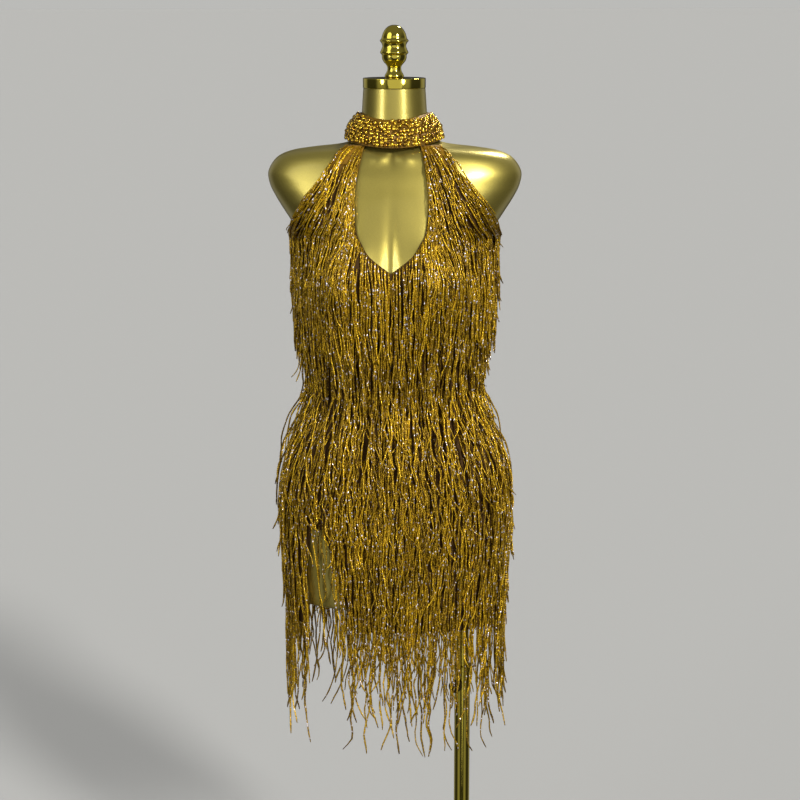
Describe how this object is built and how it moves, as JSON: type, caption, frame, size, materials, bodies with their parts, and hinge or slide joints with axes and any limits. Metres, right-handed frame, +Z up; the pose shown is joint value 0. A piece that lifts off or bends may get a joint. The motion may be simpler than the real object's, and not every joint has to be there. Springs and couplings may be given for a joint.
{
  "type": "mini dress on dress form",
  "caption": "Halter mini dress with a stone collar, keyhole front and bead fringe, worn on a limbless satin dress form on a telescoping stand.",
  "frame": {"origin": "centre of the base plate's underside, on the pole's axis", "axes": "+Z up, along the pole; -Y to the dress's front; +X to the wearer's left, the side on which the pole stands"},
  "size_m": [0.472, 0.36, 1.526],
  "materials": {
    "form_satin": "champagne-gold satin lacquer under a clear coat",
    "gold_plate": "polished gold plate",
    "dark_gold": "worn dark gold plate",
    "base_cloth": "amber stretch net",
    "collar_stones": "cloth band set all over with amber faceted stones",
    "bead_fringe": "strands of glossy gold glass beads"
  },
  "bodies": {
    "stand": {"base_plate": "gold_plate", "tube_flange": "gold_plate", "outer_tube": "gold_plate"},
    "lock": {"thumb_screw": "dark_gold"},
    "rod": {"inner_rod": "gold_plate"},
    "form": {"form_torso": "form_satin", "neck_cap": "gold_plate", "finial": "gold_plate", "front_left": "base_cloth", "front_right": "base_cloth", "back": "base_cloth", "collar_band": "collar_stones", "collar_button_lower": "gold_plate", "collar_button_upper": "gold_plate", "fringe_strap_top_left": "bead_fringe", "fringe_strap_top_right": "bead_fringe", "fringe_strap_mid_left": "bead_fringe", "fringe_strap_mid_right": "bead_fringe", "fringe_bust_left": "bead_fringe", "fringe_bust_right": "bead_fringe", "fringe_back_top": "bead_fringe", "fringe_ribs": "bead_fringe", "fringe_waist": "bead_fringe", "fringe_high_hip": "bead_fringe", "fringe_low_hip": "bead_fringe", "fringe_hem": "bead_fringe"}
  },
  "joints": [
    {"name": "rod_slide", "type": "slide", "parent": "stand", "child": "rod", "axis": [0, 0, 1], "range_m": [-0.1, 0.15]},
    {"name": "form_turn", "type": "hinge", "parent": "rod", "child": "form", "pos_m": [0, 0, 0.658], "axis": [0, 0, 1], "continuous": true},
    {"name": "screw_turn", "type": "hinge", "parent": "stand", "child": "lock", "pos_m": [-0.01, -0.01732, 0.512], "axis": [-0.5, -0.866, 0], "range_deg": [0, 180]}
  ]
}
